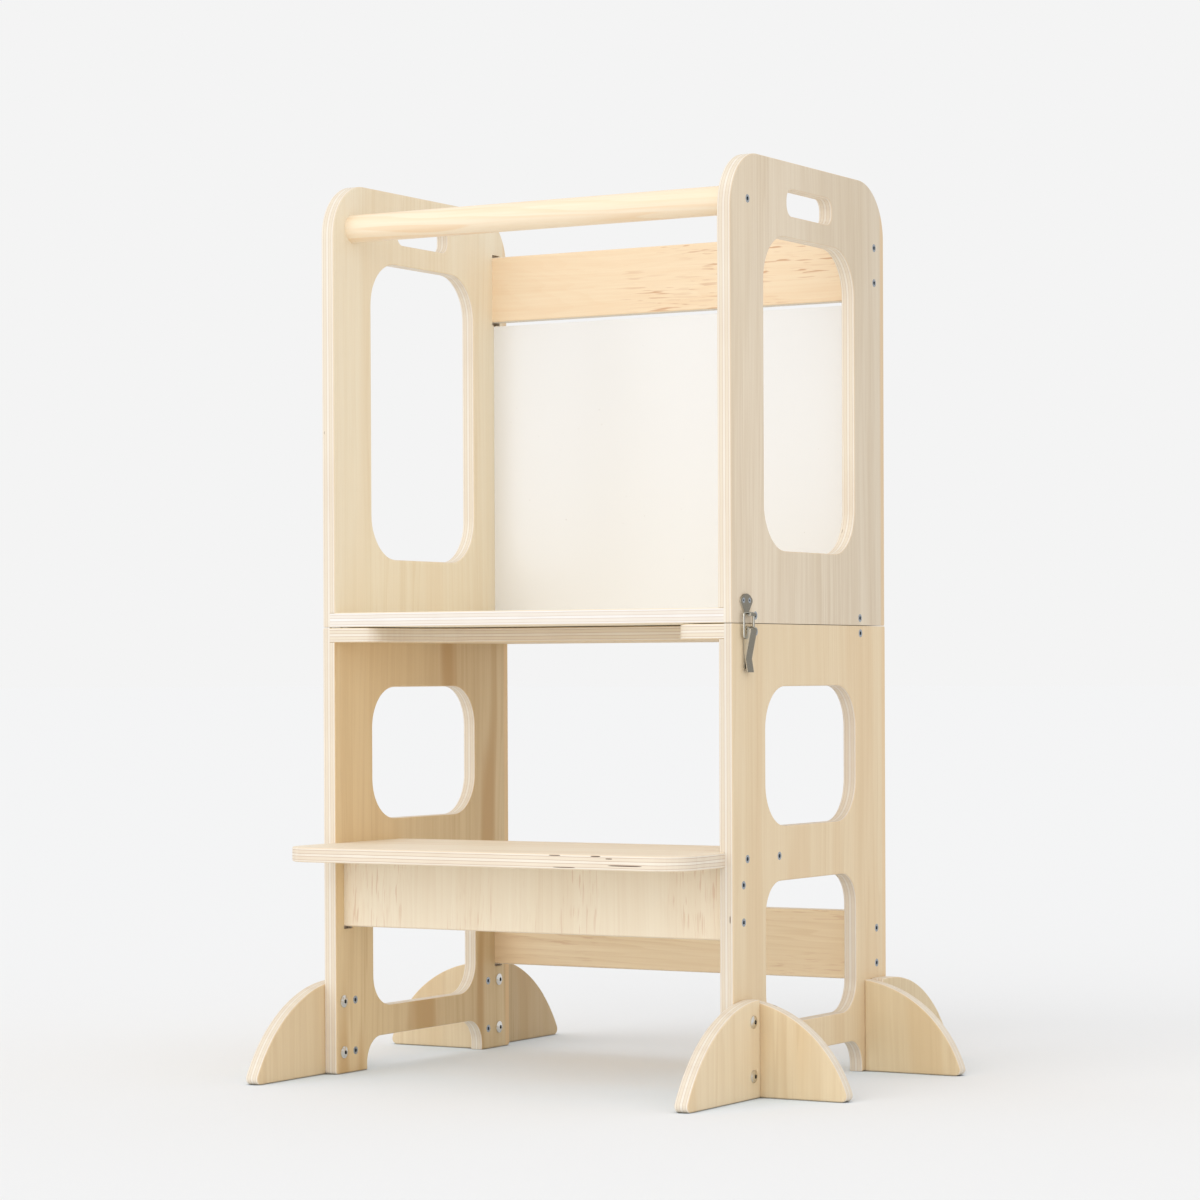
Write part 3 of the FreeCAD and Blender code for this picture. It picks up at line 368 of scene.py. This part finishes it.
def whiteSurface():
    material, tree, shader, coords = newMaterial("writing_surface")
    specks = cloud(tree, coords["Object"], writing["speckScale"], detail=1.0, rough=0.4)
    share = sums(tree, "MULTIPLY", ramp(tree, specks, *writing["speckEnd"]), writing["speckShare"])
    tree.links.new(blend(tree, share, writing["white"], writing["speck"]), shader.inputs["Base Color"])
    smear = cloud(tree, coords["Object"], writing["smearScale"])
    tree.links.new(ramp(tree, smear, *writing["smearEnd"], *writing["rough"]), shader.inputs["Roughness"])
    paint("whiteboard", material)


# Each metal has a painted highlight on the faces that look along its axis "side" and painted shade on the others.
# Sockets and joints get painted shade by how much the metal within "shut" metres closes them in. The metals share one
# table of mottle, painted highlight and painted shade.

metals = {
    "countersunk": {
        "paintedLit": (0.42, 0.46, 0.49), "paintedShaded": (0.34, 0.37, 0.40), "rough": 0.28, "shut": 0.0022, "side": 1},
    "bolt_steel": {
        "paintedLit": (0.80, 0.79, 0.76), "paintedShaded": (0.66, 0.65, 0.62), "rough": 0.22, "shut": 0.0035, "side": 1},
    "hinge_steel": {
        "paintedLit": (0.60, 0.60, 0.58), "paintedShaded": (0.52, 0.52, 0.50), "rough": 0.30, "shut": 0.003, "side": 2},
    "latch_plate": {
        "paintedLit": (0.66, 0.64, 0.58), "paintedShaded": (0.19, 0.17, 0.128), "rough": 0.34, "shut": 0.004, "side": 1},
    "latch_wire": {
        "paintedLit": (0.62, 0.60, 0.54), "paintedShaded": (0.30, 0.28, 0.23), "rough": 0.20, "shut": 0.003, "side": 1}}
mottleAndShade = {"turned": (0.35, 0.85), "scale": 800.0, "detail": 3.0, "noise": 0.6, "mottle": (0.3, 0.7),
        "share": 0.15, "samples": 8, "closed": (0.25, 0.75), "socketShade": (0.02, 0.025, 0.03),
        "roughLeast": 0.8, "roughMost": 1.25}


def metal(name, targets):
    look = metals[name]
    material, tree, shader, coords = newMaterial(name)
    facing = sums(tree, "ABSOLUTE", parted(tree, coords["Normal"])[look["side"]])
    mottle = cloud(tree, coords["Object"], mottleAndShade["scale"], mottleAndShade["detail"], mottleAndShade["noise"])
    # painted highlight on faces along the axis, painted shade on the others, with a little mottle
    paintedLit = sums(tree, "MULTIPLY_ADD", ramp(tree, mottle, *mottleAndShade["mottle"]), mottleAndShade["share"],
                  ramp(tree, facing, *mottleAndShade["turned"]))
    shade = blend(tree, paintedLit, look["paintedShaded"], look["paintedLit"])
    shut = put(tree, "ShaderNodeAmbientOcclusion", {"samples": mottleAndShade["samples"], "only_local": True},
               Distance=look["shut"]).outputs["AO"]
    # painted shade in sockets and joints
    shade = blend(tree, ramp(tree, shut, *mottleAndShade["closed"]), mottleAndShade["socketShade"], shade)
    tree.links.new(shade, shader.inputs["Base Color"])
    least, most = look["rough"] * mottleAndShade["roughLeast"], look["rough"] * mottleAndShade["roughMost"]
    tree.links.new(ramp(tree, mottle, *mottleAndShade["mottle"], least, most), shader.inputs["Roughness"])
    shader.inputs["Metallic"].default_value = 1.0
    for target in targets:
        paint(target, material)


dowelWood()
whiteSurface()
screws = [n for n in nodes if n.endswith("_screws")]
latchPieces = [n for n in nodes if "latch" in n and n not in screws]
wires = [n for n in latchPieces if n.endswith(("_bail", "_pin"))]
metal("countersunk", screws)
metal("bolt_steel", ["fin_bolts", "fin_sleeve_nuts"])
metal("hinge_steel", [n for n in nodes if "hinge" in n and n not in screws])
metal("latch_wire", wires)
metal("latch_plate", [n for n in latchPieces if n not in wires])
print("dowel, writing surface and metals painted")


# Studio: an even sky and one broad sun, so an open floor reads exactly as the background does. Close to the object
# the floor carries a painted shadow, cooler and darker, which also takes out the warm light from the wood, and a dark
# painted contact shadow where a foot stands on it.

studio = {"white": 0.905, "level": 1.05, "sky": 0.85, "sunHeight": 27.0, "sunTurn": -3.0, "sunSpread": 70.0,
          "floor": 160.0, "drop": 0.0002, "openTint": (1.0, 1.003, 1.008),
          "shadowTint": (0.92, 1.04, 1.16), "shadowReach": 0.25, "shadowReachEnd": (0.3, 0.95), "shadowReachSamples": 8,
          "contactShadowTone": (0.28, 0.27, 0.26), "contactShadow": 0.012, "contactShadowEnd": (0.1, 0.8), "contactShadowSamples": 6}


def studioWorld():
    world = bpy.data.worlds.new("studio")
    world.use_nodes = True
    tree = world.node_tree
    tree.nodes.clear()
    path = tree.nodes.new("ShaderNodeLightPath").outputs
    mirrored = sums(tree, "MAXIMUM", path["Is Glossy Ray"], path["Is Transmission Ray"])
    seen = sums(tree, "MAXIMUM", path["Is Camera Ray"], mirrored)
    sky = put(tree, "ShaderNodeBackground", Color=(1, 1, 1, 1), Strength=studio["level"] * studio["sky"])
    view = put(tree, "ShaderNodeBackground", Color=(*[studio["white"]] * 3, 1), Strength=1.0)
    mix = put(tree, "ShaderNodeMixShader", i0=seen, i1=sky.outputs[0], i2=view.outputs[0])
    out = tree.nodes.new("ShaderNodeOutputWorld")
    tree.links.new(mix.outputs[0], out.inputs["Surface"])
    bpy.context.scene.world = world


# A mask for the floor's painted shadows.
def clearance(tree, name):  # 0 where something stands within the named distance, 1 in the open
    node = put(tree, "ShaderNodeAmbientOcclusion", {"samples": studio[name + "Samples"]}, Distance=studio[name])
    return ramp(tree, node.outputs["AO"], *studio[name + "End"])


def floorMaterial():
    material, tree, shader, _ = newMaterial("pale_floor")
    full = studio["white"] / studio["level"]
    shadowTone, openTone = [tuple(full * part for part in studio[key]) for key in ("shadowTint", "openTint")]
    # painted shadow, cooler and darker, near the object; then a painted contact shadow under each foot
    tone = blend(tree, clearance(tree, "shadowReach"), shadowTone, openTone)
    tone = blend(tree, clearance(tree, "contactShadow"), studio["contactShadowTone"], tone)
    tree.links.new(tone, shader.inputs["Base Color"])
    shader.inputs["Roughness"].default_value = 1.0
    shader.inputs["Specular IOR Level"].default_value = 0.0
    return material


def studioFloor():
    half = studio["floor"] / 2
    corners = [(-half, -half, 0), (half, -half, 0), (half, half, 0), (-half, half, 0)]
    mesh = bpy.data.meshes.new("floor")
    mesh.from_pydata(corners, [], [(0, 1, 2, 3)])
    mesh.materials.append(floorMaterial())
    floor = bpy.data.objects.new("floor", mesh)
    bpy.context.scene.collection.objects.link(floor)
    floor.location.z = cadLow.z - studio["drop"]


def studioSun():
    height, turn = math.radians(studio["sunHeight"]), math.radians(studio["sunTurn"])
    light = bpy.data.lights.new("key", "SUN")
    light.energy = studio["level"] * (1.0 - studio["sky"]) * math.pi / math.sin(height)
    light.angle = math.radians(studio["sunSpread"])
    lamp = bpy.data.objects.new("key", light)
    towards = Vector((math.sin(turn) * math.cos(height), -math.cos(turn) * math.cos(height), math.sin(height)))
    lamp.rotation_euler = towards.to_track_quat("Z", "Y").to_euler()
    bpy.context.scene.collection.objects.link(lamp)


studioWorld()
studioFloor()
studioSun()
print("studio lit")

camera = {"focal": 108.823, "sensor": 36.0, "shift": 0.0894, "place": (1.8510, -3.1883, 0.4051),
          "yaw": 0.5277, "pitch": -0.00978, "roll": -0.00415}


def photoCamera():
    data = bpy.data.cameras.new("camera")
    data.lens = camera["focal"]
    data.sensor_width = camera["sensor"]
    data.shift_y = camera["shift"]
    data.clip_end = studio["floor"]
    yaw, pitch, roll = camera["yaw"], camera["pitch"], camera["roll"]
    ahead = Vector((-math.sin(yaw) * math.cos(pitch), math.cos(yaw) * math.cos(pitch), math.sin(pitch)))
    level = Vector((math.cos(yaw), math.sin(yaw), 0))
    top = level.cross(ahead)
    right = level * math.cos(roll) + top * math.sin(roll)
    up = top * math.cos(roll) - level * math.sin(roll)
    eye = bpy.data.objects.new("camera", data)
    eye.matrix_world = Matrix.Translation(camera["place"]) @ Matrix((right, up, -ahead)).transposed().to_4x4()
    bpy.context.scene.collection.objects.link(eye)
    bpy.context.scene.camera = eye


photoCamera()
bpy.context.scene.view_settings.view_transform = "Standard"
print("camera set")
